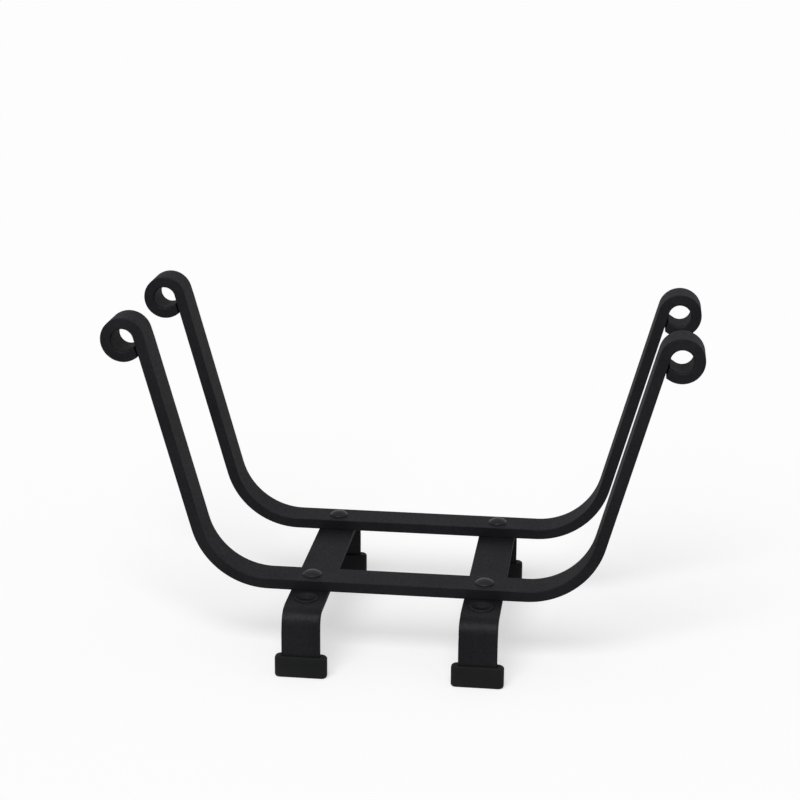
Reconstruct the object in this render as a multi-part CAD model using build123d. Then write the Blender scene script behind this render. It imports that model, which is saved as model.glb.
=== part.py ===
from build123d import *
import os
from math import acos, degrees, radians, sqrt, tan

# Hoops: flat bar bent into a U with rolled ends, in millimetres and degrees
hoop_bar_width = 37.0
hoop_bar_thickness = 11.2
hoop_edge_chamfer = 0.6
hoop_bottom_flat = 264.0
hoop_corner_inner_radius = 70.7
arm_lean = 15.4
arm_length = 208.2
scroll_inner_radius = 11.6
scroll_turn = 288.0
scroll_end_gap = 1.6
least_turn_to_spare = 2.0

# Foot straps: flat bar under the hoops, bent down at both ends into legs
strap_width = 39.0
strap_thickness = 6.0
strap_edge_chamfer = 0.7
strap_length = 296.0
strap_bend_inner_radius = 10.0
strap_top_height = 70.2
strap_spacing = 178.0

# Places along a strap, measured from its middle
front_hoop_offset = 72.0
rear_hoop_offset = 110.0
spare_hole_offset = 110.0

# Raised and dished seat round the spare hole in front of the front hoop
seat_diameter = 26.0
seat_height = 1.5
dish_diameter = 20.0
dish_angle = 118.0

# Bolts, washers and nuts
bolt_diameter = 8.0
bolt_head_diameter = 20.0
bolt_head_height = 4.8
bolt_head_rim = 0.8
bolt_neck_length = 5.0
bolt_end_past_nut = 3.0
bolt_hole_clearance = 0.5
neck_clearance = 0.25
thread_clearance = 0.1
washer_diameter = 17.0
washer_thickness = 1.6
washer_hole_clearance = 0.2
nut_across_flats = 13.0
nut_height = 6.5
nut_corner_bevel = 30.0

# Foot caps: moulded boots on the ends of the legs
cap_height = 22.4
cap_floor = 4.0
cap_face_wall = 3.0
cap_side_wall = 6.9
cap_fit_clearance = 0.15
cap_corner_radius = 2.6

# Places that follow from the sizes above
strap_x = strap_spacing / 2
strap_sides = {"left": -strap_x, "right": strap_x}
leg_y = (strap_length - strap_thickness) / 2
leg_ends = {"front": -leg_y, "rear": leg_y}
front_hoop_y = -front_hoop_offset
rear_hoop_y = rear_hoop_offset
spare_hole_y = -spare_hole_offset
hoop_top = strap_top_height + hoop_bar_thickness
scroll_outer_radius = scroll_inner_radius + hoop_bar_thickness
strap_underside = strap_top_height - strap_thickness
washer_underside = strap_underside - washer_thickness
bolted_places = [(x, y) for x in strap_sides.values() for y in (front_hoop_y, rear_hoop_y)]


def flat_bar(path, across, width, thickness, edge_chamfer):
    """A flat bar with eased edges along a flat path, its width along the axis that the path bends about."""
    section = Rectangle(width, thickness)
    section = chamfer(section.vertices(), edge_chamfer)
    section_plane = Plane(origin=path @ 0, x_dir=across, z_dir=path % 0)
    return sweep(section_plane * section, path=path)


def half_hoop():
    """Right half of a hoop's middle line, in its own plane: bottom, corner bend, leaning arm and scroll."""
    half_bar = hoop_bar_thickness / 2
    bottom_z = strap_top_height + half_bar
    # The roll stops before its outer corner would meet the arm
    room_at_end = (scroll_inner_radius - scroll_end_gap) / scroll_outer_radius
    full_turn = 360 - degrees(acos(room_at_end))
    rolled = min(scroll_turn, full_turn - least_turn_to_spare)
    bottom = Line((0, bottom_z), (hoop_bottom_flat / 2, bottom_z))
    corner = JernArc(bottom @ 1, bottom % 1, hoop_corner_inner_radius + half_bar, 90 - arm_lean)
    arm = PolarLine(corner @ 1, arm_length, direction=corner % 1)
    scroll = JernArc(arm @ 1, arm % 1, scroll_inner_radius + half_bar, -rolled)
    return bottom, corner, arm, scroll


def scroll_tip(hoop_plane, arm, scroll):
    """The straight end of the right scroll, cut parallel to the arm and the gap away from it."""
    line = PolarLine(scroll @ 1, scroll_outer_radius, direction=scroll % 1)
    path = Wire((hoop_plane * line).edges())
    tip = flat_bar(path, hoop_plane.z_dir, hoop_bar_width, hoop_bar_thickness, hoop_edge_chamfer)
    gap_side = hoop_bar_thickness / 2 + scroll_end_gap
    reach = 2 * scroll_outer_radius
    waste = Pos(gap_side - reach / 2, 0, 0) * Box(reach, 2 * reach, 2 * hoop_bar_width)
    return tip - hoop_plane * Pos(arm @ 1) * Rot(0, 0, -arm_lean) * waste


def hoop(y):
    """One hoop, with a square hole for a bolt's neck over each strap."""
    hoop_plane = Plane.XZ.offset(-y)
    bottom, corner, arm, scroll = half_hoop()
    right_half = Curve() + [bottom, corner, arm, scroll]
    both_halves = right_half + mirror(right_half, Plane.YZ)
    path = Wire((hoop_plane * both_halves).edges())
    bar = flat_bar(path, hoop_plane.z_dir, hoop_bar_width, hoop_bar_thickness, hoop_edge_chamfer)
    right_tip = scroll_tip(hoop_plane, arm, scroll)
    bar += [right_tip, mirror(right_tip, Plane.YZ)]
    hole_side = bolt_diameter + 2 * neck_clearance
    punch = Box(hole_side, hole_side, 2 * hoop_bar_thickness)
    for x in strap_sides.values():
        bar -= Pos(x, y, hoop_top) * punch
    return bar


def strap_path(x):
    """Middle line of a strap: leg, bend, flat top, bend, leg."""
    top_z = strap_top_height - strap_thickness / 2
    bend_radius = strap_bend_inner_radius + strap_thickness / 2
    corners = [(-leg_y, cap_floor), (-leg_y, top_z), (leg_y, top_z), (leg_y, cap_floor)]
    line = FilletPolyline(*corners, radius=bend_radius)
    return Wire((Plane.YZ.offset(x) * line).edges())


def foot_strap(x):
    """One strap, with a bolt hole under each hoop and a spare hole in a raised, dished seat."""
    bar = flat_bar(strap_path(x), (1, 0, 0), strap_width, strap_thickness, strap_edge_chamfer)
    hole_radius = bolt_diameter / 2 + bolt_hole_clearance
    dish_radius = dish_diameter / 2
    dish_depth = (dish_radius - hole_radius) / tan(radians(dish_angle / 2))
    seat = Cylinder(seat_diameter / 2, 2 * seat_height)
    dish = Pos(0, 0, seat_height - dish_depth / 2) * Cone(hole_radius, dish_radius, dish_depth)
    drill = Cylinder(hole_radius, 4 * strap_thickness)
    bar += Pos(x, spare_hole_y, strap_top_height) * seat
    bar -= Pos(x, spare_hole_y, strap_top_height) * dish
    for y in (spare_hole_y, front_hoop_y, rear_hoop_y):
        bar -= Pos(x, y, strap_top_height) * drill
    return bar


def foot_cap(x, y):
    """A moulded boot: a block with rounded corners and a pocket that the end of a leg stands in."""
    pocket_width = strap_width + 2 * cap_fit_clearance
    pocket_depth = strap_thickness + 2 * cap_fit_clearance
    block = Box(pocket_width + 2 * cap_side_wall, pocket_depth + 2 * cap_face_wall, cap_height)
    block = fillet(block.edges().filter_by(Axis.Y), cap_corner_radius)
    pocket_height = cap_height - cap_floor
    pocket = Pos(0, 0, cap_height / 2) * Box(pocket_width, pocket_depth, 2 * pocket_height)
    return Pos(x, y, cap_height / 2) * (block - pocket)


def hoop_bolt(x, y):
    """A round-headed bolt with a square neck, its head seated on the hoop."""
    head_radius = bolt_head_diameter / 2
    dome_height = bolt_head_height - bolt_head_rim
    dome_radius = (head_radius**2 + dome_height**2) / (2 * dome_height)
    disc = Pos(0, 0, bolt_head_height / 2) * Cylinder(head_radius, bolt_head_height)
    head = disc & Pos(0, 0, bolt_head_height - dome_radius) * Sphere(dome_radius)
    length = hoop_top - washer_underside + nut_height + bolt_end_past_nut
    shank = Pos(0, 0, -length / 2) * Cylinder(bolt_diameter / 2, length)
    neck = Pos(0, 0, -bolt_neck_length / 2) * Box(bolt_diameter, bolt_diameter, bolt_neck_length)
    return Pos(x, y, hoop_top) * (head + shank + neck)


def hoop_washer(x, y):
    """A flat washer against the strap's underside."""
    hole_radius = bolt_diameter / 2 + washer_hole_clearance
    ring = Circle(washer_diameter / 2) - Circle(hole_radius)
    return Pos(x, y, washer_underside) * extrude(ring, washer_thickness)


def hoop_nut(x, y):
    """A hexagon nut against the washer, with its corners bevelled at the free face."""
    seat_radius = nut_across_flats / 2
    corner_radius = nut_across_flats / sqrt(3)
    bevel = (corner_radius - seat_radius) * tan(radians(nut_corner_bevel))
    turned_half = Polyline(
        (0, 0),
        (seat_radius, 0),
        (corner_radius, bevel),
        (corner_radius, nut_height),
        (0, nut_height),
        close=True,
    )
    turned = revolve(Plane.XZ * make_face(turned_half), Axis.Z)
    hexagon = extrude(RegularPolygon(seat_radius, 6, major_radius=False), nut_height)
    bore = Cylinder(bolt_diameter / 2 + thread_clearance, 4 * nut_height)
    return Pos(x, y, washer_underside - nut_height) * (turned & hexagon - bore)


nodes = {"front_hoop": hoop(front_hoop_y), "rear_hoop": hoop(rear_hoop_y)}
for side, x in strap_sides.items():
    nodes[f"{side}_foot_strap"] = foot_strap(x)
    for end, y in leg_ends.items():
        nodes[f"{end}_{side}_foot_cap"] = foot_cap(x, y)
nodes["hoop_bolts"] = Compound([hoop_bolt(x, y) for x, y in bolted_places])
nodes["hoop_washers"] = Compound([hoop_washer(x, y) for x, y in bolted_places])
nodes["hoop_nuts"] = Compound([hoop_nut(x, y) for x, y in bolted_places])

os.makedirs("parts", exist_ok=True)
for name, shape in nodes.items():
    export_step(shape, f"parts/{name}.step")
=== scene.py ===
"""Dresses the log rack: coated bars, moulded foot caps, threaded fasteners, their finishes and the stage."""

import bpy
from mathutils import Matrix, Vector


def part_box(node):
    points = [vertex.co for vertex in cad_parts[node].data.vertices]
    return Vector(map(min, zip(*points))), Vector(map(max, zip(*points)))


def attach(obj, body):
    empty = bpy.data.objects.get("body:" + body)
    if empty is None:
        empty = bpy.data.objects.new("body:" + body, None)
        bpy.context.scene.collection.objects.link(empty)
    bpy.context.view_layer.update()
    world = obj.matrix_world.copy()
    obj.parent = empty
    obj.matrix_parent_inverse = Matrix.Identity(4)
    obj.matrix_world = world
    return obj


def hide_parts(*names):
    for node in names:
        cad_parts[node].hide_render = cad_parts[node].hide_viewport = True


bl_info = {
    "name": "Log Rack",
    "version": (1, 0, 0),
    "blender": (4, 5, 0),
    "location": "3D View > Sidebar > Log Rack",
    "description": "Builds the finished surfaces of a bolted log rack around its solids",
    "category": "Object",
}

from math import cos, pi, radians, sin, tan
from types import SimpleNamespace

import bpy
import numpy as np
from mathutils import Matrix, Vector

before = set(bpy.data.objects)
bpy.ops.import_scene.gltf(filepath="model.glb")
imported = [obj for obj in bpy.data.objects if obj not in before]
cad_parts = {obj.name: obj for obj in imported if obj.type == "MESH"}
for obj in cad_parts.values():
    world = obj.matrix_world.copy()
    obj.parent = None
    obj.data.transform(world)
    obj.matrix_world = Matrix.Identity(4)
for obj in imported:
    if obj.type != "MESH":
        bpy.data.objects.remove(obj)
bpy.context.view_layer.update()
BODY = "root"
MM = 0.001

HOOPS = ("front_hoop", "rear_hoop")
STRAPS = ("left_foot_strap", "right_foot_strap")
CAPS = ("front_left_foot_cap", "front_right_foot_cap", "rear_left_foot_cap", "rear_right_foot_cap")

AXIS_X = np.array((1.0, 0.0, 0.0))
AXIS_Y = np.array((0.0, 1.0, 0.0))
AXIS_Z = np.array((0.0, 0.0, 1.0))

# Cells in a rounded corner, and cells that a patch round a hole has along and across its bar
CORNER_CELLS = 6
PATCH_CELLS = 16
# Length of the patch round each hole in a hoop and in a strap
HOOP_PATCH = 26 * MM
STRAP_PATCH = 32 * MM
# About the length of the cells in the plain flat stretches of a bar
PLAIN_CELL = 12 * MM
# Cells in each of a hoop's corner bends, arms and scrolls, and in each of a strap's bends and legs
CORNER_BEND_CELLS = 28
ARM_CELLS = 18
SCROLL_CELLS = 84
STRAP_BEND_CELLS = 24
LEG_CELLS = 6
# Cells at each end of a bar that are straight and may be slanted
TIP_CELLS = 4
# Points in one turn of a bolt, a washer and a nut
BOLT_COLUMNS = 64
WASHER_COLUMNS = 72
NUT_COLUMNS = 96
# Distance of the line of points that keeps a flat face flat next to its rounded edge
EDGE_SUPPORT = 0.25 * MM
# How much bending makes a bar's edge faces lean, narrower outside the bend and wider inside it
EDGE_FLARE = 0.6
# How much more the edges inside a bend are rounded, for a bend whose radius is the bar's thickness
EDGE_ROLL = 2.0 * MM
# Rounding of a bar's ends, as a share of the rounding of its long edges
END_ROUNDING = 0.9
# Least volume that a piece may enclose, in cubic metres
LEAST_VOLUME = 1e-12
# Width of the camera's picture in millimetres, and the lamp's distance and half the floor's side in metres
SENSOR_WIDTH = 36.0
LAMP_DISTANCE = 3.0
FLOOR_REACH = 8.0


def size_of(node):
    """Size of a solid's box along X, Y and Z."""
    low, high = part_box(node)
    return high - low


def middle_of(node):
    """Middle of a solid's box."""
    low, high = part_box(node)
    return (low + high) / 2


def length_setting(name, description, default):
    """A property that holds a length in metres."""
    return bpy.props.FloatProperty(
        name=name, description=description, default=default, min=0.0, precision=5, unit="LENGTH"
    )


def angle_setting(name, description, default):
    """A property that holds an angle, given here in degrees."""
    return bpy.props.FloatProperty(
        name=name, description=description, default=radians(default), subtype="ANGLE"
    )


def share_setting(name, description, default):
    """A property that holds a share from 0 to 1."""
    return bpy.props.FloatProperty(
        name=name, description=description, default=default, min=0.0, max=1.0, subtype="FACTOR"
    )


def colour_setting(name, description, default):
    """A property that holds a linear colour."""
    return bpy.props.FloatVectorProperty(
        name=name, description=description, default=default, size=3, min=0.0, max=1.0, subtype="COLOR"
    )


class HoopSettings(bpy.types.PropertyGroup):
    """Sizes of the two bent hoops."""

    width: length_setting("Width", "Width of the flat bar", size_of("front_hoop").y)
    thickness: length_setting("Thickness", "Thickness of the flat bar", 11.2 * MM)
    edge_radius: length_setting("Edge Radius", "Rounding of the bar's long edges", 0.7 * MM)
    bottom_flat: length_setting("Bottom Flat", "Straight length between the corner bends", 264 * MM)
    corner_radius: length_setting("Corner Radius", "Inner radius of the corner bends", 70.7 * MM)
    arm_lean: angle_setting("Arm Lean", "Outward lean of the arms from upright", 15.4)
    arm_length: length_setting("Arm Length", "Straight length of an arm", 208.2 * MM)
    scroll_radius: length_setting("Scroll Radius", "Inner radius of the rolled ends", 11.55 * MM)
    scroll_turn: angle_setting("Scroll Turn", "Angle through which an end is rolled", 288)
    scroll_gap: length_setting("Scroll Gap", "Gap between a rolled end's tip and the arm", 1.6 * MM)
    hole_side: length_setting("Hole Side", "Side of the square holes for the bolts", 8.5 * MM)


class StrapSettings(bpy.types.PropertyGroup):
    """Sizes of the two foot straps."""

    width: length_setting("Width", "Width of the flat bar", size_of("left_foot_strap").x)
    thickness: length_setting("Thickness", "Thickness of the flat bar", 6 * MM)
    edge_radius: length_setting("Edge Radius", "Rounding of the bar's long edges", 0.9 * MM)
    bend_radius: length_setting("Bend Radius", "Inner radius of the bends above the legs", 10 * MM)
    spare_hole: length_setting("Spare Hole", "Distance of the spare hole from the middle", 110 * MM)
    hole_diameter: length_setting("Hole Diameter", "Diameter of the bolt holes", 9 * MM)
    seat_diameter: length_setting("Seat Diameter", "Diameter of the raised seat at its foot", 26 * MM)
    seat_crest: length_setting("Seat Crest", "Diameter of the seat's rim at its highest", 22.6 * MM)
    dish_angle: angle_setting("Dish Angle", "Full angle of the dish inside the seat", 118)


class CapSettings(bpy.types.PropertyGroup):
    """Sizes of the moulded foot caps."""

    floor: length_setting("Floor", "Thickness under the leg", 4 * MM)
    face_wall: length_setting("Face Wall", "Thickness in front of and behind the leg", 3 * MM)
    side_wall: length_setting("Side Wall", "Thickness beside the leg", 6.9 * MM)
    upright_radius: length_setting("Upright Radius", "Rounding of the upright edges", 4.8 * MM)
    corner_radius: length_setting("Corner Radius", "Rounding of the corners, seen from the front", 2.8 * MM)
    bottom_edge: length_setting("Bottom Edge", "How far the front and back draw in at the bottom", 1.8 * MM)
    top_edge: length_setting("Top Edge", "How far the front and back draw in at the top", 0.8 * MM)
    mouth_radius: length_setting("Mouth Radius", "Rounding of the edges round the mouth", 0.5 * MM)


class FastenerSettings(bpy.types.PropertyGroup):
    """Sizes of the bolts, washers and nuts."""

    bolt_diameter: length_setting("Bolt Diameter", "Thread diameter", 8 * MM)
    thread_pitch: length_setting("Thread Pitch", "Advance of the thread in one turn", 1.25 * MM)
    head_diameter: length_setting("Head Diameter", "Diameter of a bolt's head", 20 * MM)
    head_height: length_setting("Head Height", "Height of a bolt's head", 4.8 * MM)
    head_rim: length_setting("Head Rim", "Height of the upright rim of a head", 0.8 * MM)
    neck_length: length_setting("Neck Length", "Length of the square neck", 5 * MM)
    washer_diameter: length_setting("Washer Diameter", "Outer diameter of a washer", 17 * MM)
    nut_across_flats: length_setting("Nut Across Flats", "Width across a nut's flats", 13 * MM)


class FinishSettings(bpy.types.PropertyGroup):
    """Colours of the finishes."""

    coat: colour_setting("Coat", "Powder coat on the bars", (0.0090, 0.0091, 0.0112))
    # Lighter coat for rounded edges: rubbed wear and a painted edge highlight
    coat_rubbed_highlit: colour_setting("Rubbed Coat With Painted Highlight", "Powder coat where edges are rubbed and painted lighter as a highlight", (0.019, 0.020, 0.023))
    rubber: colour_setting("Rubber", "Foot caps", (0.0114, 0.0117, 0.0122))
    rubber_dust_and_highlight: colour_setting("Dusty Rubber and Painted Highlight", "Foot caps where dust clings and edges are painted lighter as a highlight", (0.0215, 0.0218, 0.0222))
    steel: colour_setting("Blackened Steel", "Bolts, washers and nuts", (0.0125, 0.0128, 0.0140))
    steel_bright: colour_setting("Rubbed Steel", "Rubbed edges of the fasteners", (0.045, 0.046, 0.049))


class StageSettings(bpy.types.PropertyGroup):
    """The camera, lamp, sky and floor."""

    camera_place: bpy.props.FloatVectorProperty(
        name="Camera Place", description="Where the camera stands", default=(0.22626, -1.95349, 0.83704),
        size=3, subtype="TRANSLATION", unit="LENGTH",
    )
    camera_yaw: angle_setting("Camera Yaw", "Turn of the view to the left of straight ahead", 6.839)
    camera_pitch: angle_setting("Camera Pitch", "Fall of the view below level", 16.587)
    camera_roll: angle_setting("Camera Roll", "Roll of the picture", 0.418)
    camera_lens: bpy.props.FloatProperty(
        name="Camera Lens", description="Focal length", default=89.092, min=1.0, unit="CAMERA"
    )
    sun_height: angle_setting("Sun Height", "Height of the lamp's direction above level", 50)
    sun_turn: angle_setting("Sun Turn", "Turn of the lamp's direction to the left of the front", 8)
    sun_spread: angle_setting("Sun Spread", "Angle that the soft lamp fills", 42)
    sun_strength: bpy.props.FloatProperty(
        name="Sun Strength", description="Light of the lamp in watts a square metre", default=2.0, min=0.0
    )
    sky_strength: share_setting("Sky Strength", "Light of the even sky", 0.30)
    floor_colour: colour_setting("Floor Colour", "Pale floor under the rack", (0.60, 0.60, 0.60))
    floor_glow: share_setting("Floor Glow", "Share of white that the floor shows by itself", 0.51)


class RackSettings(bpy.types.PropertyGroup):
    """Every setting of the rack and its stage."""

    hoop: bpy.props.PointerProperty(type=HoopSettings, name="Hoops", description="Sizes of the hoops")
    strap: bpy.props.PointerProperty(type=StrapSettings, name="Straps", description="Sizes of the straps")
    cap: bpy.props.PointerProperty(type=CapSettings, name="Caps", description="Sizes of the foot caps")
    fastener: bpy.props.PointerProperty(
        type=FastenerSettings, name="Fasteners", description="Sizes of the bolts, washers and nuts"
    )
    finish: bpy.props.PointerProperty(type=FinishSettings, name="Finishes", description="Colours")
    stage: bpy.props.PointerProperty(type=StageSettings, name="Stage", description="Camera and light")


def bolt_places():
    """Middle of each crossing of a hoop and a strap, as an array of X and Y."""
    return np.array([(middle_of(strap).x, middle_of(hoop).y) for strap in STRAPS for hoop in HOOPS])


# Meshes


def signed_volume(points, faces):
    """Volume inside the faces: a sixth of the sum of the scalar triple products of their triangles."""
    total = 0.0
    for corner_count in {len(face) for face in faces}:
        corners = points[np.array([face for face in faces if len(face) == corner_count])]
        for second in range(1, corner_count - 1):
            normals = np.cross(corners[:, second], corners[:, second + 1])
            total += np.einsum("ij,ij->", corners[:, 0], normals) / 6
    return total


def new_piece(name, shape, slot, node, sharp_angle=40):
    """A finished piece that stands for a solid, its faces turned outward and its edge attribute stored."""
    points, faces, edge = shape
    volume = signed_volume(points, faces)
    if abs(volume) < LEAST_VOLUME:
        raise RuntimeError(f"{name} encloses no volume")
    if volume < 0:
        faces = [face[::-1] for face in faces]
    mesh = bpy.data.meshes.new(name)
    mesh.from_pydata(points.tolist(), [], faces)
    mesh.polygons.foreach_set("use_smooth", np.ones(len(mesh.polygons), bool))
    mesh.set_sharp_from_angle(angle=radians(sharp_angle))
    attribute = mesh.attributes.new("edge", "FLOAT", "POINT")
    attribute.data.foreach_set("value", np.asarray(edge, np.float32))
    if mesh.validate():
        raise RuntimeError(f"{name} has faulty faces")
    mesh.materials.append(material_for(slot))
    piece = bpy.data.objects.new(name, mesh)
    bpy.context.scene.collection.objects.link(piece)
    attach(piece, BODY)
    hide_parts(node)


def number_grid(points):
    """The numbers of the points in an array of rows by columns, in the same layout."""
    rows, columns = points.shape[:2]
    return np.arange(rows * columns).reshape(rows, columns)


def ring_quads(ids, kept=...):
    """Four-sided faces between neighbouring rows of point numbers, each row closed on itself.

    All of them are made, or only those that are marked as kept.
    """
    onward = np.roll(ids, -1, axis=1)
    quads = np.stack((ids[:-1], onward[:-1], onward[1:], ids[1:]), axis=-1)
    return quads[kept].reshape(-1, 4).tolist()


def end_faces(ids):
    """Flat faces that close the first and the last row of point numbers."""
    return [ids[0][::-1].tolist(), ids[-1].tolist()]


def flat_between(start, stop, count):
    """Evenly spaced points on a line, the first and the last of them close to its ends."""
    length = np.hypot(*(stop - start))
    support = min(EDGE_SUPPORT, length / 4) / length
    return start + np.linspace(support, 1 - support, count)[:, None] * (stop - start)


def section_outline(width, thickness, upper_radius, lower_radius):
    """A rectangle with round corners, anticlockwise from the start of its upper right corner.

    Each corner is a quarter circle, and each flat between two corners has evenly spaced points. Returns the
    points and how near each is to the middle of a corner.
    """
    turn = np.linspace(0, pi / 2, CORNER_CELLS + 1)
    corners = []
    for quarter, (side, level) in enumerate(((1, 1), (-1, 1), (-1, -1), (1, -1))):
        radius = upper_radius if level > 0 else lower_radius
        centre = np.array((side * (width / 2 - radius), level * (thickness / 2 - radius)))
        angle = turn + quarter * pi / 2
        corners.append(centre + radius * np.stack((np.cos(angle), np.sin(angle)), axis=1))
    stretches = []
    nearness = []
    for quarter, corner in enumerate(corners):
        count = 2 if quarter % 2 else PATCH_CELLS + 1
        flat = flat_between(corner[-1], corners[(quarter + 1) % 4][0], count)
        stretches += [corner, flat]
        nearness += [np.sin(2 * turn), np.zeros(count)]
    return np.concatenate(stretches), np.concatenate(nearness)


def bent_sections(width, thickness, radius, curl):
    """Sections of a flat bar where it is bent, for an array of bends given as thickness over bending radius.

    The corners inside the bend are rounded more as it tightens. The edge faces lean: a point's first number
    grows by a share of itself, which is the flare times the bend times its second number, over the width.
    """
    plain, _ = section_outline(width, thickness, radius, radius)
    upper, _ = section_outline(width, thickness, radius + EDGE_ROLL, radius)
    lower, _ = section_outline(width, thickness, radius, radius + EDGE_ROLL)
    upward = np.clip(curl, 0, None)[:, None, None]
    downward = np.clip(-curl, 0, None)[:, None, None]
    sections = plain + upward * (upper - plain) + downward * (lower - plain)
    sections[..., 0] *= 1 + EDGE_FLARE / width * curl[:, None] * sections[..., 1]
    return sections


def mirrored_path(runs, height):
    """The middle line of a bent bar, the same on both sides of its middle.

    Each run is a length, the angle it turns through and a count of cells. Along a run the heading changes
    evenly, so a run with no turn is straight and any other is an arc, whose points follow from the sines and
    cosines of the heading. Returns the distance out, the height and the heading at each point, from the far
    left to the far right.
    """
    out, up, heading = [np.zeros(1)], [np.full(1, height)], [np.zeros(1)]
    for length, turn, cells in runs:
        share = np.linspace(0, 1, cells + 1)[1:]
        first = heading[-1][-1]
        angle = first + turn * share
        if turn == 0:
            step_out = length * share * cos(first)
            step_up = length * share * sin(first)
        else:
            step_out = length / turn * (np.sin(angle) - sin(first))
            step_up = length / turn * (cos(first) - np.cos(angle))
        out.append(out[-1][-1] + step_out)
        up.append(up[-1][-1] + step_up)
        heading.append(angle)
    out, up, heading = (np.concatenate(values) for values in (out, up, heading))
    return (
        np.concatenate((-out[:0:-1], out)),
        np.concatenate((up[:0:-1], up)),
        np.concatenate((-heading[:0:-1], heading)),
    )


def flat_runs(length, holes, patch_length):
    """Straight runs from a bar's middle outward that leave a patch of even cells round each hole."""
    runs = []
    reached = 0.0
    for hole in holes:
        plain = hole - patch_length / 2 - reached
        runs += [(plain, 0.0, max(1, round(plain / PLAIN_CELL))), (patch_length, 0.0, PATCH_CELLS)]
        reached = hole + patch_length / 2
    rest = length - reached
    return runs + [(rest, 0.0, max(1, round(rest / PLAIN_CELL)))]


def curl_along(path, thickness):
    """Thickness over bending radius at each point of a path: the change of heading over the length.

    The tips take the bend next to them, so that their section stays the same.
    """
    out, up, heading = path
    travelled = np.concatenate((np.zeros(1), np.cumsum(np.hypot(np.diff(out), np.diff(up)))))
    curl = thickness * np.gradient(heading, travelled)
    curl[: TIP_CELLS + 1] = curl[TIP_CELLS + 1]
    curl[-TIP_CELLS - 1 :] = curl[-TIP_CELLS - 2]
    return curl


def bent_bar(path, middle, along_axis, bar, end_slant):
    """Points of a bar as an array of rows along it by places round it, and each point's nearness to an edge.

    A point is the path's point, plus the section's first number along the axis that the bar bends about,
    plus its second number along the path's own normal. The ends are slanted by moving their points along the
    bar by the slant's tangent times the section's second number. They are rounded over by more rows, whose
    section draws in by 1 - cos while it moves outward by sin.
    """
    out, up, heading = path
    width, thickness, radius = bar.width, bar.thickness, bar.edge_radius
    bend_axis = np.cross(AXIS_Z, along_axis)
    tangent = np.outer(np.cos(heading), along_axis) + np.outer(np.sin(heading), AXIS_Z)
    normal = np.outer(np.cos(heading), AXIS_Z) - np.outer(np.sin(heading), along_axis)
    line = np.outer(out, along_axis) + np.outer(up, AXIS_Z) + middle
    curl = curl_along(path, thickness)
    sections = bent_sections(width, thickness, radius, curl)
    rows = line[:, None] + sections[..., :1] * bend_axis + sections[..., 1:] * normal[:, None]
    slant = tan(end_slant)
    for cell in range(TIP_CELLS):
        share = (1 - cell / TIP_CELLS) * slant
        rows[cell] += share * sections[cell, :, 1:] * tangent[0]
        rows[-1 - cell] -= share * sections[-1 - cell, :, 1:] * tangent[-1]

    end_radius = END_ROUNDING * radius
    rows[0] += end_radius * tangent[0]
    rows[-1] -= end_radius * tangent[-1]
    roll = np.linspace(0, pi / 2, CORNER_CELLS + 1)[1:]
    end_rows = {0: [], -1: []}
    for end, direction in ((0, -1), (-1, 1)):
        for angle in roll:
            inset = end_radius * (1 - cos(angle))
            size = np.array((width, thickness)) - 2 * inset
            drawn_in = bent_sections(*size, radius - inset, curl[[end]])[0]
            onward = direction * (end_radius * (sin(angle) - 1) - slant * drawn_in[:, 1:])
            in_section = drawn_in[:, :1] * bend_axis + drawn_in[:, 1:] * normal[end]
            end_rows[end].append(line[end] + onward * tangent[end] + in_section)
    points = np.concatenate((end_rows[0][::-1], rows, end_rows[-1]))
    _, near_corner = section_outline(width, thickness, radius, radius)
    end_edges = np.tile(np.sin(2 * roll)[:, None], (1, len(near_corner)))
    edges = np.concatenate((end_edges[::-1], np.tile(near_corner, (len(line), 1)), end_edges))
    return points, edges


def patch_walk():
    """Steps along and across a patch that lead once round its border."""
    rising = np.arange(PATCH_CELLS)
    falling = PATCH_CELLS - rising
    near = np.zeros(PATCH_CELLS, int)
    far = near + PATCH_CELLS
    return np.concatenate((far, falling, near, rising)), np.concatenate((rising, far, falling, near))


def pierced_bar(path, middle, along_axis, bar, patch_length, holes, end_slant=0.0):
    """A bent bar with holes through its flat stretch.

    At each hole a patch of cells of the upper and of the lower face gives way to rings, which lead from the
    upper patch's border through the hole to the lower patch's border. A hole is its place along the bar and
    its rings, each with its radius as a function of the angle, its height in the bar's thickness and its
    nearness to an edge.
    """
    out, up, heading = path
    rows, row_edges = bent_bar(path, middle, along_axis, bar, end_slant)
    ids = number_grid(rows)
    kept = np.ones((len(ids) - 1, ids.shape[1]), bool)
    upper = CORNER_CELLS + 1 + np.arange(PATCH_CELLS, -1, -1)
    lower = upper[::-1] + ids.shape[1] // 2
    steps_along, steps_across = patch_walk()
    flat_points = np.where(heading == 0, out, np.inf)
    bend_axis = np.cross(AXIS_Z, along_axis)
    points = [rows.reshape(-1, 3)]
    edges = [row_edges.ravel()]
    count = len(points[0])
    hole_faces = []
    for hole, hole_rings in holes:
        first = CORNER_CELLS + int(np.argmin(np.abs(flat_points - hole + patch_length / 2)))
        for columns in (upper, lower):
            kept[first : first + PATCH_CELLS, columns.min() : columns.max()] = False
        border = ids[first + steps_along, upper[steps_across]]
        far_border = ids[first + steps_along, lower[steps_across]]
        centre = middle + hole * along_axis + up[np.argmin(np.abs(out))] * AXIS_Z
        spoke = points[0][border] - centre
        angle = np.arctan2(spoke @ bend_axis, spoke @ along_axis)
        outward = np.outer(np.cos(angle), along_axis) + np.outer(np.sin(angle), bend_axis)
        rings = [border]
        for ring_radius, depth, nearness in hole_rings:
            points.append(centre + ring_radius(angle)[:, None] * outward + depth * AXIS_Z)
            edges.append(np.full(len(angle), nearness))
            rings.append(np.arange(count, count + len(angle)))
            count += len(angle)
        hole_faces += ring_quads(np.array(rings + [far_border]))
    faces = ring_quads(ids, kept) + end_faces(ids) + hole_faces
    return np.concatenate(points), faces, np.concatenate(edges)


def round_ring(radius):
    """A ring's radius that is the same at every angle."""
    return lambda angle: np.full(angle.shape, radius)


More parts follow.
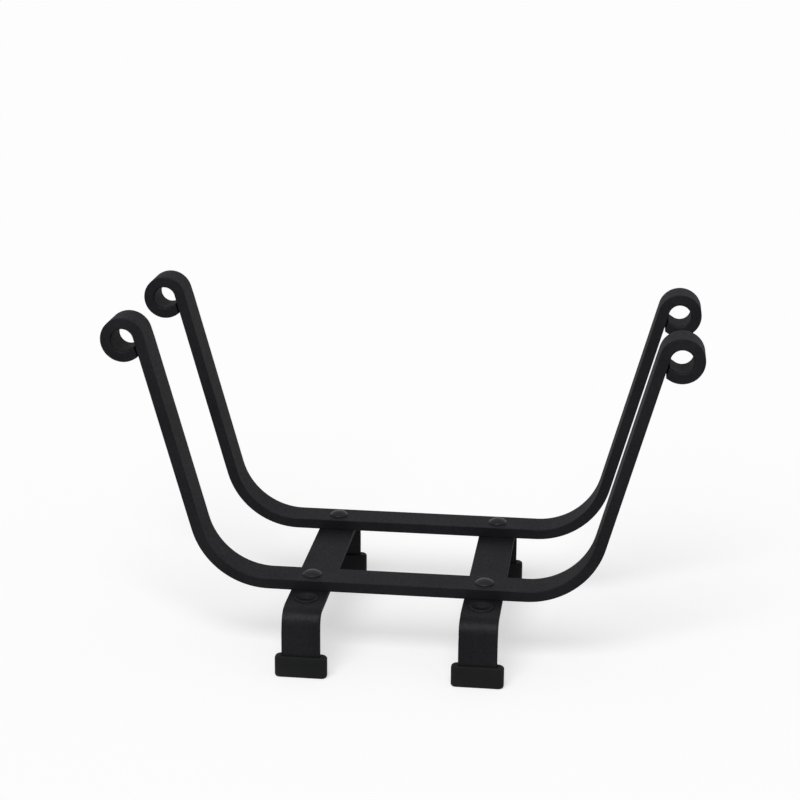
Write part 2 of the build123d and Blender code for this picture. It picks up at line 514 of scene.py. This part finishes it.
def square_ring(side, power=14):
    """A ring's radius for a square with slightly round corners: a superellipse."""

    def radius(angle):
        reach = np.abs(np.cos(angle)) ** power + np.abs(np.sin(angle)) ** power
        return side / 2 / reach ** (1 / power)

    return radius


def square_hole(side, half_bar):
    """Rings of a punched square hole with eased mouths."""
    ease = 0.4 * MM
    wall = square_ring(side)
    mouth = square_ring(side + 2 * ease)
    return [
        (mouth, half_bar, 0.0),
        (wall, half_bar - ease, 0.0),
        (wall, ease - half_bar, 0.0),
        (mouth, -half_bar, 0.0),
    ]


def plain_hole(radius, half_bar):
    """Rings of a drilled hole with eased mouths."""
    ease = 0.35 * MM
    return [
        (round_ring(radius + 2 * ease), half_bar, 0.0),
        (round_ring(radius + ease), half_bar, 0.3),
        (round_ring(radius), half_bar - ease, 0.3),
        (round_ring(radius), ease - half_bar, 0.3),
        (round_ring(radius + ease), -half_bar, 0.3),
        (round_ring(radius + 2 * ease), -half_bar, 0.0),
    ]


def seated_hole(strap, half_bar, seat_height):
    """Rings of a hole in a raised, dished seat.

    The rim rises from the strap's face on a quarter ellipse and rolls over on an arc until it has the dish's
    slope. The dish then falls on a cone to the hole.
    """
    foot = strap.seat_diameter / 2
    crest = strap.seat_crest / 2
    top = half_bar + seat_height
    hole = strap.hole_diameter / 2
    fall = pi / 2 - strap.dish_angle / 2
    rim_rows = 9
    roll_rows = 6
    dish_shares = (0.35, 0.7, 0.97)
    roll_radius = 2.5 * MM
    mouth_drop = 0.15 * MM
    rings = [(round_ring(foot + 2 * EDGE_SUPPORT), half_bar, 0.0)]
    for angle in np.linspace(0, pi / 2, rim_rows):
        radius = crest + (foot - crest) * cos(angle)
        rings.append((round_ring(radius), half_bar + seat_height * sin(angle), sin(angle) ** 2))
    for angle in np.linspace(0, fall, roll_rows)[1:]:
        inward = crest - roll_radius * sin(angle)
        rings.append((round_ring(inward), top - roll_radius * (1 - cos(angle)), 1 - angle / fall))
    dish_floor = top - roll_radius * (1 - cos(fall)) - (inward - hole) * tan(fall)
    for share in dish_shares:
        radius = inward + share * (hole - inward)
        rings.append((round_ring(radius), dish_floor + (radius - hole) * tan(fall), 0.0))
    rings.append((round_ring(hole), dish_floor - mouth_drop, 0.3))
    return rings + plain_hole(hole, half_bar)[3:]


def hoop_bar(hoop, y):
    """One hoop: bottom, corner bends, leaning arms, rolled ends and their straight tips."""
    half_bar = hoop.thickness / 2
    bend = hoop.corner_radius + half_bar
    roll = hoop.scroll_radius + half_bar
    swing = pi / 2 - hoop.arm_lean
    # The tip runs on until its end, which is parallel to the arm, is the gap away from the arm's outer face
    room = hoop.scroll_radius - roll * cos(hoop.scroll_turn)
    tip = (room - hoop.scroll_gap) / abs(sin(hoop.scroll_turn))
    end_slant = hoop.scroll_turn - 1.5 * pi
    bolted = sorted(middle_of(strap).x for strap in STRAPS)
    runs = flat_runs(hoop.bottom_flat / 2, bolted[1:], HOOP_PATCH) + [
        (bend * swing, swing, CORNER_BEND_CELLS),
        (hoop.arm_length, 0.0, ARM_CELLS),
        (roll * hoop.scroll_turn, -hoop.scroll_turn, SCROLL_CELLS),
        (tip, 0.0, TIP_CELLS),
    ]
    path = mirrored_path(runs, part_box("front_hoop")[0].z + half_bar)
    holes = [(place, square_hole(hoop.hole_side, half_bar)) for place in bolted]
    return pierced_bar(path, y * AXIS_Y, AXIS_X, hoop, HOOP_PATCH, holes, end_slant)


def strap_bar(strap, node):
    """One foot strap: a flat top with its holes, two bends and two legs."""
    low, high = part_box(node)
    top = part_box("front_hoop")[0].z
    half_bar = strap.thickness / 2
    bend = strap.bend_radius + half_bar
    flat = (high.y - low.y) / 2 - strap.thickness - strap.bend_radius
    leg = top - strap.thickness - strap.bend_radius - low.z
    bolted = [middle_of(hoop).y for hoop in HOOPS]
    outward = sorted({round(abs(place), 5) for place in (*bolted, strap.spare_hole)})
    runs = flat_runs(flat, outward, STRAP_PATCH) + [
        (bend * pi / 2, -pi / 2, STRAP_BEND_CELLS),
        (leg, 0.0, LEG_CELLS),
    ]
    path = mirrored_path(runs, top - half_bar)
    holes = [(place, plain_hole(strap.hole_diameter / 2, half_bar)) for place in bolted]
    holes.append((-strap.spare_hole, seated_hole(strap, half_bar, high.z - top)))
    return pierced_bar(path, middle_of(node).x * AXIS_X, AXIS_Y, strap, STRAP_PATCH, holes)


def cap_loft(cap, node):
    """One foot cap: rounded rectangles stacked up its outside, over the mouth and down into the pocket.

    At the bottom and at the top a rectangle's half width follows a quarter circle and its half depth a
    quarter ellipse, at the mouth both follow a quarter circle, and between them they are even.
    """
    low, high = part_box(node)
    middle = middle_of(node)
    half = np.array((high.x - low.x, high.y - low.y)) / 2
    inner = half - (cap.side_wall, cap.face_wall)
    side_rows = 8
    pocket_rows = 5
    pocket_corner = 0.4 * MM
    # Upright edges take this share of the edge mask, which paints them lighter as a highlight
    upright_rub_and_highlight = 0.6
    quarter = np.linspace(0, pi / 2, CORNER_CELLS + 1)
    rows = []
    for angle in quarter:
        inset = np.array((cap.corner_radius, cap.bottom_edge)) * (1 - sin(angle))
        height = low.z + cap.corner_radius * (1 - cos(angle))
        rows.append((half - inset, cap.upright_radius - inset[1], height))
    for height in np.linspace(low.z, high.z, side_rows)[2:-2]:
        rows.append((half, cap.upright_radius, height))
    for angle in quarter:
        inset = np.array((cap.corner_radius, cap.top_edge)) * (1 - cos(angle))
        height = high.z - cap.corner_radius * (1 - sin(angle))
        rows.append((half - inset, cap.upright_radius - inset[1], height))
    for angle in quarter:
        inset = cap.mouth_radius * (1 - sin(angle))
        height = high.z - cap.mouth_radius * (1 - cos(angle))
        rows.append((inner + inset, pocket_corner + inset, height))
    for height in np.linspace(high.z - cap.mouth_radius, low.z + cap.floor, pocket_rows)[1:]:
        rows.append((inner, pocket_corner, height))
    loops = []
    for half_size, radius, height in rows:
        outline, nearness = section_outline(*(2 * half_size), radius, radius)
        loops.append(np.column_stack((outline + (middle.x, middle.y), np.full(len(outline), height))))
    points = np.array(loops)
    ids = number_grid(points)
    edges = np.tile(upright_rub_and_highlight * nearness, (len(rows), 1))
    # The bottom rounding takes the whole edge mask: dust there and a painted highlight
    edges[: len(quarter)] = np.maximum(edges[: len(quarter)], np.sin(2 * quarter)[:, None])
    return points.reshape(-1, 3), ring_quads(ids) + end_faces(ids), edges.ravel()


def turned_set(rows, columns, closed):
    """A turned shape at each bolt: a point at an angle and a row stands at that row's radius and height.

    A row is a radius, a height and a nearness to an edge. Its radius and its height are one number each, or
    an array over the angles. A closed shape joins its last row to its first, and an open one is closed by a
    flat face at each end.
    """
    angle = np.linspace(0, 2 * pi, columns, endpoint=False)
    radius = np.array([np.broadcast_to(row[0], columns) for row in rows])
    height = np.array([np.broadcast_to(row[1], columns) for row in rows])
    edge = np.repeat([row[2] for row in rows], columns)
    shape = np.stack((radius * np.cos(angle), radius * np.sin(angle), height), axis=-1)
    places = bolt_places()
    points = []
    faces = []
    for number, (x, y) in enumerate(places):
        ids = number_grid(shape) + number * radius.size
        points.append(shape.reshape(-1, 3) + (x, y, 0.0))
        if closed:
            faces += ring_quads(np.concatenate((ids, ids[:1])))
        else:
            faces += ring_quads(ids) + end_faces(ids)
    return np.concatenate(points), faces, np.tile(edge, len(places))


def bolt_rows(fastener, seat, end):
    """A bolt's rows: a domed head, a square neck and a threaded shank down to a bevelled end.

    The dome is a stretch of a sphere. The neck's radius is a superellipse of the angle. The thread's radius
    is a flattened zigzag of the height in pitches less the angle in turns, so its crest climbs a pitch a
    turn.
    """
    angle = np.linspace(0, 2 * pi, BOLT_COLUMNS, endpoint=False)
    head = fastener.head_diameter / 2
    dome_height = fastener.head_height - fastener.head_rim
    sphere = (head**2 + dome_height**2) / (2 * dome_height)
    top = seat + fastener.head_height
    dome_rows = 22
    least_lean = 0.02
    rim_ease = 0.1 * MM
    seat_ease = 0.15 * MM
    neck_ease = 0.5 * MM
    rows = []
    for lean in np.linspace(least_lean, np.arcsin(head / sphere), dome_rows):
        rows.append((sphere * sin(lean), top - sphere * (1 - cos(lean)), lean**4))
    rows[-1] = (head - rim_ease, rows[-1][1] + rim_ease / 5, 0.9)

    shank = fastener.bolt_diameter / 2
    neck = square_ring(fastener.bolt_diameter)(angle)
    neck_low = seat - fastener.neck_length
    rows += [
        (head, seat + fastener.head_rim - rim_ease, 1.0),
        (head, seat + seat_ease, 0.5),
        (head - seat_ease, seat, 0.5),
        (neck, seat, 0.0),
        (neck, neck_low + neck_ease, 0.0),
        (shank, neck_low, 0.0),
    ]

    pitch = fastener.thread_pitch
    depth = 0.55 * pitch
    rows_a_turn = 12
    flank_gain = 1.5
    root_flat = 0.2
    bevel_start = 0.62 * shank
    bevel_slope = 1.2
    thread_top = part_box("front_hoop")[0].z
    turns = (thread_top - end) / pitch
    heights = np.linspace(thread_top, end, int(rows_a_turn * turns))[:, None]
    phase = (heights / pitch - angle / (2 * pi)) % 1.0
    zigzag = np.clip(flank_gain * np.abs(2 * phase - 1) - root_flat, 0.0, 1.0)
    run_in = np.clip((thread_top - heights) / (2 * pitch), 0.0, 1.0)
    bevel = bevel_start + bevel_slope * (heights - end)
    thread = np.minimum(shank - depth * run_in * (1 - zigzag), bevel)
    return rows + [(radius, height, 0.3) for radius, height in zip(thread, heights)]


def washer_rows(fastener, low, high):
    """A washer's rows: out along the top, round the rim, in along the underside and up the hole."""
    clearance = 0.2 * MM
    ease = 0.25 * MM
    outer = fastener.washer_diameter / 2
    hole = fastener.bolt_diameter / 2 + clearance
    return [
        (hole + ease, high, 0.4),
        (hole + 2 * ease, high, 0.0),
        (outer - 3 * ease, high, 0.0),
        (outer - ease, high - 0.2 * ease, 0.6),
        (outer, high - ease, 1.0),
        (outer, low + ease, 0.6),
        (outer - ease, low, 0.5),
        (outer - 3 * ease, low, 0.0),
        (hole + 2 * ease, low, 0.0),
        (hole + ease, low, 0.4),
        (hole, low + ease, 0.2),
        (hole, high - ease, 0.2),
    ]


def nut_rows(fastener, low, high):
    """A nut's rows: seat faces, bevelled hexagon sides and a bored middle with bevelled mouths.

    The hexagon's radius at an angle is its half width over the cosine of the angle from the nearest flat. A
    cone at 30 degrees cuts its corners, so a bevel's height is the radius past the seat times the tangent of
    30 degrees.
    """
    clearance = 0.1 * MM
    mouth = 0.6 * MM
    angle = np.linspace(0, 2 * pi, NUT_COLUMNS, endpoint=False)
    flat = fastener.nut_across_flats / 2
    hexagon = flat / np.cos((angle + pi / 6) % (pi / 3) - pi / 6)
    seat = 0.97 * flat
    bevel = (hexagon - seat) * tan(pi / 6)
    bore = fastener.bolt_diameter / 2 + clearance
    land = bore + 1.4 * mouth
    return [
        (bore + mouth, high, 0.3),
        (land, high, 0.0),
        (seat, high, 0.6),
        (hexagon, high - bevel, 0.8),
        (hexagon, low + bevel, 0.8),
        (seat, low, 0.6),
        (land, low, 0.0),
        (bore + mouth, low, 0.3),
        (bore, low + mouth, 0.2),
        (bore, high - mouth, 0.2),
    ]


# Materials


def tone(colour, times=1.0):
    """A colour made darker or lighter, with the fourth number that a colour input asks for."""
    return (*(times * part for part in colour), 1.0)


def feed(tree, entry, value):
    """Links an output to an input, or sets the input to a plain value."""
    if isinstance(value, bpy.types.NodeSocket):
        tree.links.new(value, entry)
    else:
        entry.default_value = value


def add_node(tree, kind, values=None, **traits):
    """A node of this kind, with its traits set and its named inputs fed."""
    node = tree.nodes.new(kind)
    for trait, value in traits.items():
        setattr(node, trait, value)
    for name, value in (values or {}).items():
        in_use = next(entry for entry in node.inputs if entry.name == name and entry.enabled)
        feed(tree, in_use, value)
    return node


def noise(tree, place, scale, detail=2.0, roughness=0.5):
    """A noise in three dimensions from 0 to 1."""
    values = {"Vector": place, "Scale": scale, "Detail": detail, "Roughness": roughness}
    return add_node(tree, "ShaderNodeTexNoise", values).outputs[0]


def spread(tree, value, low, high, to_low=0.0, to_high=1.0):
    """A value moved evenly and clamped from one range to another."""
    values = {"Value": value, "From Min": low, "From Max": high, "To Min": to_low, "To Max": to_high}
    return add_node(tree, "ShaderNodeMapRange", values).outputs[0]


def calculate(tree, operation, first, second):
    """A sum, product or the like of two values."""
    node = add_node(tree, "ShaderNodeMath", operation=operation)
    feed(tree, node.inputs[0], first)
    feed(tree, node.inputs[1], second)
    return node.outputs[0]


def blend_colours(tree, share, first, second):
    """A colour between two colours."""
    values = {"Factor": share, "A": first, "B": second}
    node = add_node(tree, "ShaderNodeMix", values, data_type="RGBA")
    return next(entry for entry in node.outputs if entry.enabled)


def new_group(name, inputs, outputs):
    """An empty shader node group with value inputs, a place input and value outputs."""
    group = bpy.data.node_groups.new(name, "ShaderNodeTree")
    group.interface.new_socket("Place", in_out="INPUT", socket_type="NodeSocketVector")
    for entry, value in inputs.items():
        made = group.interface.new_socket(entry, in_out="INPUT", socket_type="NodeSocketFloat")
        made.default_value = value
    for entry in outputs:
        group.interface.new_socket(entry, in_out="OUTPUT", socket_type="NodeSocketFloat")
    return group, group.nodes.new("NodeGroupInput"), group.nodes.new("NodeGroupOutput")


def grain_group():
    """Fine grain over a soft orange peel, as a height, and a broad drift of tone."""
    scales = {"Grain Scale": 2000.0, "Peel Scale": 300.0}
    group, given, result = new_group("surface_grain", scales, ("Height", "Drift"))
    place = given.outputs["Place"]
    grain = noise(group, place, given.outputs["Grain Scale"], detail=3.0, roughness=0.6)
    peel = noise(group, place, given.outputs["Peel Scale"], detail=1.0, roughness=0.4)
    grain_part = calculate(group, "MULTIPLY", grain, 0.55)
    peel_part = calculate(group, "MULTIPLY", peel, 0.45)
    height = calculate(group, "ADD", grain_part, peel_part)
    drift = spread(group, noise(group, place, 22.0, detail=3.0, roughness=0.6), 0.35, 0.65)
    group.links.new(height, result.inputs["Height"])
    group.links.new(drift, result.inputs["Drift"])
    return group


def rubbing_and_highlight_group():
    """A patchy mask along rounded edges, from how near the surface is to an edge: where edges are rubbed and
    painted lighter as a highlight.
    """
    group, given, result = new_group("edge_rubbing_and_painted_highlight", {"Edge": 0.0, "Amount": 0.5}, ("Mask",))
    place = given.outputs["Place"]
    blotches = noise(group, place, 60.0, detail=4.0, roughness=0.65)
    patches = spread(group, blotches, 0.38, 0.68, to_low=0.3)
    specks = spread(group, noise(group, place, 700.0, roughness=0.6), 0.40, 0.62)
    broken = calculate(group, "MULTIPLY", patches, specks)
    on_edges = calculate(group, "MULTIPLY", given.outputs["Edge"], broken)
    mask = calculate(group, "MULTIPLY", on_edges, given.outputs["Amount"])
    group.links.new(mask, result.inputs["Mask"])
    return group


def shared_group(name, make):
    """The node group of this name, made the first time it is asked for."""
    return bpy.data.node_groups.get(name) or make()


def new_finish(name, grain_scale, peel_scale, rub_and_highlight_amount):
    """A material with the shared grain and the edge rubbing with its painted edge highlight, as its tree,
    its shader and the outputs to build on.
    """
    material = bpy.data.materials.new(name)
    material.use_nodes = True
    tree = material.node_tree
    place = add_node(tree, "ShaderNodeTexCoord").outputs["Object"]
    edge = add_node(tree, "ShaderNodeAttribute", attribute_name="edge").outputs["Fac"]
    grain = add_node(
        tree, "ShaderNodeGroup", {"Place": place, "Grain Scale": grain_scale, "Peel Scale": peel_scale},
        node_tree=shared_group("surface_grain", grain_group),
    ).outputs
    rubbing_and_highlight = add_node(
        tree, "ShaderNodeGroup", {"Place": place, "Edge": edge, "Amount": rub_and_highlight_amount},
        node_tree=shared_group("edge_rubbing_and_painted_highlight", rubbing_and_highlight_group),
    ).outputs
    return SimpleNamespace(
        material=material, tree=tree, shader=tree.nodes["Principled BSDF"], place=place,
        height=grain["Height"], drift=grain["Drift"], rubbed_and_highlit=rubbing_and_highlight["Mask"],
    )


def connect_finish(made, colour, roughness, bump_depth, bump_strength):
    """Feeds a finish's shader its colour, its roughness and the bump of its grain."""
    values = {"Height": made.height, "Distance": bump_depth, "Strength": bump_strength}
    normal = add_node(made.tree, "ShaderNodeBump", values).outputs["Normal"]
    made.tree.links.new(colour, made.shader.inputs["Base Color"])
    made.tree.links.new(roughness, made.shader.inputs["Roughness"])
    made.tree.links.new(normal, made.shader.inputs["Normal"])


def rubbed_smoother(made, low, high, smoother):
    """A roughness that follows the grain from low to high and falls where the surface is rubbed."""
    grainy = spread(made.tree, made.height, 0.3, 0.7, low, high)
    fall = calculate(made.tree, "MULTIPLY", made.rubbed_and_highlit, smoother)
    return calculate(made.tree, "SUBTRACT", grainy, fall)


def coat_material(name, finish):
    """Satin black powder coat: a fine grain, a faint drift of tone and edges rubbed smoother and painted a
    little lighter as a highlight.
    """
    made = new_finish(name, grain_scale=1700.0, peel_scale=330.0, rub_and_highlight_amount=0.55)
    colour = blend_colours(made.tree, made.drift, tone(finish.coat, 0.8), tone(finish.coat, 1.25))
    # Painted edge highlight: rounded edges turn lighter in patches, where the coat is also rubbed smoother
    colour = blend_colours(made.tree, made.rubbed_and_highlit, colour, tone(finish.coat_rubbed_highlit))
    roughness = rubbed_smoother(made, low=0.40, high=0.50, smoother=0.08)
    connect_finish(made, colour, roughness, bump_depth=0.12 * MM, bump_strength=0.55)
    # All of the gloss lies in a thin clear layer, which keeps grazing views dark
    made.shader.inputs["Specular IOR Level"].default_value = 0.0
    made.shader.inputs["Coat Roughness"].default_value = 0.45
    gloss = spread(made.tree, made.height, 0.35, 0.65, to_low=0.13, to_high=0.25)
    made.tree.links.new(gloss, made.shader.inputs["Coat Weight"])
    return made.material


def rubber_material(name, finish):
    """Moulded black rubber: matt, finely pitted, with a little dust in patches and more near the floor, and
    rounded edges painted lighter as a highlight.
    """
    made = new_finish(name, grain_scale=1200.0, peel_scale=420.0, rub_and_highlight_amount=0.6)
    height = add_node(made.tree, "ShaderNodeSeparateXYZ", {"Vector": made.place}).outputs["Z"]
    dusty = spread(made.tree, height, 12 * MM, 0.0, to_low=0.25, to_high=0.75)
    dust = calculate(made.tree, "MULTIPLY", dusty, made.drift)
    colour = blend_colours(made.tree, dust, tone(finish.rubber), tone(finish.rubber_dust_and_highlight))
    # Painted edge highlight: rounded edges take the dusty colour in patches
    colour = blend_colours(made.tree, made.rubbed_and_highlit, colour, tone(finish.rubber_dust_and_highlight))
    roughness = spread(made.tree, made.height, 0.3, 0.7, to_low=0.52, to_high=0.66)
    connect_finish(made, colour, roughness, bump_depth=0.16 * MM, bump_strength=0.5)
    made.shader.inputs["Specular IOR Level"].default_value = 0.06
    return made.material


def steel_material(name, finish):
    """Blackened steel of the fasteners: smoother than the coat, with rubbed edges that show the metal."""
    made = new_finish(name, grain_scale=2600.0, peel_scale=600.0, rub_and_highlight_amount=0.9)
    colour = blend_colours(made.tree, made.drift, tone(finish.steel), tone(finish.steel, 1.3))
    colour = blend_colours(made.tree, made.rubbed_and_highlit, colour, tone(finish.steel_bright))
    roughness = rubbed_smoother(made, low=0.34, high=0.44, smoother=0.06)
    connect_finish(made, colour, roughness, bump_depth=0.05 * MM, bump_strength=0.4)
    metal = spread(made.tree, made.rubbed_and_highlit, 0.0, 1.0, to_high=0.6)
    made.tree.links.new(metal, made.shader.inputs["Metallic"])
    made.shader.inputs["Specular IOR Level"].default_value = 0.10
    return made.material


FINISHES = {
    "black_paint": ("black_powder_coat", coat_material),
    "black_rubber": ("black_moulded_rubber", rubber_material),
    "black_steel": ("blackened_steel", steel_material),
}


def material_for(slot):
    """The material of a slot, made the first time it is asked for."""
    name, make = FINISHES[slot]
    return bpy.data.materials.get(name) or make(name, bpy.context.scene.log_rack.finish)


# Operators


class LOGRACK_OT_hoops(bpy.types.Operator):
    """Build both hoops"""

    bl_idname = "log_rack.hoops"
    bl_label = "Hoops"

    def execute(self, context):
        hoop = context.scene.log_rack.hoop
        for node in HOOPS:
            new_piece(f"{node}_bar", hoop_bar(hoop, middle_of(node).y), "black_paint", node)
        return {"FINISHED"}


class LOGRACK_OT_straps(bpy.types.Operator):
    """Build both foot straps"""

    bl_idname = "log_rack.straps"
    bl_label = "Foot Straps"

    def execute(self, context):
        strap = context.scene.log_rack.strap
        for node in STRAPS:
            new_piece(f"{node}_bar", strap_bar(strap, node), "black_paint", node)
        return {"FINISHED"}


class LOGRACK_OT_caps(bpy.types.Operator):
    """Build the four foot caps"""

    bl_idname = "log_rack.caps"
    bl_label = "Foot Caps"

    def execute(self, context):
        cap = context.scene.log_rack.cap
        for node in CAPS:
            new_piece(f"{node}_boot", cap_loft(cap, node), "black_rubber", node)
        return {"FINISHED"}


class LOGRACK_OT_bolts(bpy.types.Operator):
    """Build the four bolts"""

    bl_idname = "log_rack.bolts"
    bl_label = "Bolts"

    def execute(self, context):
        fastener = context.scene.log_rack.fastener
        low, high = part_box("hoop_bolts")
        rows = bolt_rows(fastener, high.z - fastener.head_height, low.z)
        shape = turned_set(rows, BOLT_COLUMNS, closed=False)
        new_piece("hoop_bolts_threaded", shape, "black_steel", "hoop_bolts")
        return {"FINISHED"}


class LOGRACK_OT_washers(bpy.types.Operator):
    """Build the four washers"""

    bl_idname = "log_rack.washers"
    bl_label = "Washers"

    def execute(self, context):
        low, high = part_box("hoop_washers")
        rows = washer_rows(context.scene.log_rack.fastener, low.z, high.z)
        shape = turned_set(rows, WASHER_COLUMNS, closed=True)
        new_piece("hoop_washers_rounded", shape, "black_steel", "hoop_washers")
        return {"FINISHED"}


class LOGRACK_OT_nuts(bpy.types.Operator):
    """Build the four nuts"""

    bl_idname = "log_rack.nuts"
    bl_label = "Nuts"

    def execute(self, context):
        low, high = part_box("hoop_nuts")
        rows = nut_rows(context.scene.log_rack.fastener, low.z, high.z)
        shape = turned_set(rows, NUT_COLUMNS, closed=True)
        new_piece("hoop_nuts_bevelled", shape, "black_steel", "hoop_nuts", sharp_angle=20)
        return {"FINISHED"}


def add_camera(stage):
    """The camera, from its place and its turns."""
    yaw, pitch, roll = stage.camera_yaw, stage.camera_pitch, stage.camera_roll
    ahead = Vector((-sin(yaw) * cos(pitch), cos(yaw) * cos(pitch), -sin(pitch)))
    level = Vector((cos(yaw), sin(yaw), 0.0))
    upward = level.cross(ahead)
    right = cos(roll) * level + sin(roll) * upward
    up = cos(roll) * upward - sin(roll) * level
    camera = bpy.data.cameras.new("camera")
    camera.lens = stage.camera_lens
    camera.sensor_width = SENSOR_WIDTH
    viewer = bpy.data.objects.new("camera", camera)
    turn = Matrix((right, up, -ahead)).transposed().to_4x4()
    viewer.matrix_world = Matrix.Translation(stage.camera_place) @ turn
    bpy.context.scene.collection.objects.link(viewer)
    bpy.context.scene.camera = viewer


def add_sun(stage):
    """A wide, soft lamp that is equally strong everywhere, from above and in front."""
    light = bpy.data.lights.new("overhead_lamp", "SUN")
    light.energy = stage.sun_strength
    light.angle = stage.sun_spread
    lamp = bpy.data.objects.new("overhead_lamp", light)
    level = cos(stage.sun_height)
    toward = Vector((-level * sin(stage.sun_turn), -level * cos(stage.sun_turn), sin(stage.sun_height)))
    lamp.location = LAMP_DISTANCE * toward
    lamp.rotation_euler = toward.to_track_quat("Z", "Y").to_euler()
    bpy.context.scene.collection.objects.link(lamp)


def seen_directly(tree):
    """1 for rays from the camera or a reflection, which see the white background, and 0 for the others."""
    rays = add_node(tree, "ShaderNodeLightPath").outputs
    mirrored = calculate(tree, "MAXIMUM", rays["Is Glossy Ray"], rays["Is Transmission Ray"])
    return calculate(tree, "MAXIMUM", rays["Is Camera Ray"], mirrored)


def add_floor(stage):
    """A wide pale floor that keeps the rack's shadow."""
    reach = FLOOR_REACH
    mesh = bpy.data.meshes.new("floor")
    corners = [(-reach, -reach, 0), (reach, -reach, 0), (reach, reach, 0), (-reach, reach, 0)]
    mesh.from_pydata(corners, [], [(0, 1, 2, 3)])
    material = bpy.data.materials.new("pale_floor")
    material.use_nodes = True
    tree = material.node_tree
    shader = tree.nodes["Principled BSDF"]
    shader.inputs["Base Color"].default_value = tone(stage.floor_colour)
    shader.inputs["Roughness"].default_value = 0.9
    shader.inputs["Specular IOR Level"].default_value = 0.0
    shader.inputs["Emission Color"].default_value = (1.0, 1.0, 1.0, 1.0)
    glow = calculate(tree, "MULTIPLY", seen_directly(tree), stage.floor_glow)
    tree.links.new(glow, shader.inputs["Emission Strength"])
    mesh.materials.append(material)
    floor = bpy.data.objects.new("floor", mesh)
    bpy.context.scene.collection.objects.link(floor)


def light_world(stage):
    """An even soft sky that looks white to the camera and in reflections."""
    world = bpy.data.worlds.new("studio")
    world.use_nodes = True
    tree = world.node_tree
    background = tree.nodes["Background"]
    background.inputs["Color"].default_value = (1.0, 1.0, 1.0, 1.0)
    strength = spread(tree, seen_directly(tree), 0.0, 1.0, stage.sky_strength, 1.0)
    tree.links.new(strength, background.inputs["Strength"])
    bpy.context.scene.world = world


class LOGRACK_OT_stage(bpy.types.Operator):
    """Set up the camera, lamp, floor and sky"""

    bl_idname = "log_rack.stage"
    bl_label = "Stage"

    def execute(self, context):
        stage = context.scene.log_rack.stage
        add_camera(stage)
        add_sun(stage)
        add_floor(stage)
        light_world(stage)
        context.scene.view_settings.view_transform = "Standard"
        return {"FINISHED"}


OPERATORS = (
    LOGRACK_OT_hoops,
    LOGRACK_OT_straps,
    LOGRACK_OT_caps,
    LOGRACK_OT_bolts,
    LOGRACK_OT_washers,
    LOGRACK_OT_nuts,
    LOGRACK_OT_stage,
)


class LOGRACK_PT_sidebar(bpy.types.Panel):
    """Lists what builds the rack, and its settings"""

    bl_idname = "LOGRACK_PT_sidebar"
    bl_label = "Log Rack"
    bl_space_type = "VIEW_3D"
    bl_region_type = "UI"
    bl_category = "Log Rack"

    def draw(self, context):
        for operator in OPERATORS:
            self.layout.operator(operator.bl_idname)
        rack = context.scene.log_rack
        for group in (rack.hoop, rack.strap, rack.cap, rack.fastener, rack.finish, rack.stage):
            box = self.layout.box()
            for setting in group.bl_rna.properties:
                if not setting.is_readonly and setting.identifier != "name":
                    box.prop(group, setting.identifier)


CLASSES = (
    HoopSettings,
    StrapSettings,
    CapSettings,
    FastenerSettings,
    FinishSettings,
    StageSettings,
    RackSettings,
    *OPERATORS,
    LOGRACK_PT_sidebar,
)


def register():
    """Adds the classes and the rack's settings to Blender."""
    for entry in CLASSES:
        bpy.utils.register_class(entry)
    bpy.types.Scene.log_rack = bpy.props.PointerProperty(type=RackSettings)


def unregister():
    """Takes the settings and the classes out again."""
    del bpy.types.Scene.log_rack
    for entry in reversed(CLASSES):
        bpy.utils.unregister_class(entry)


def main():
    """Builds every piece and the stage."""
    register()
    bpy.ops.log_rack.hoops()
    bpy.ops.log_rack.straps()
    bpy.ops.log_rack.caps()
    bpy.ops.log_rack.bolts()
    bpy.ops.log_rack.washers()
    bpy.ops.log_rack.nuts()
    bpy.ops.log_rack.stage()


if __name__ == "__main__":
    main()
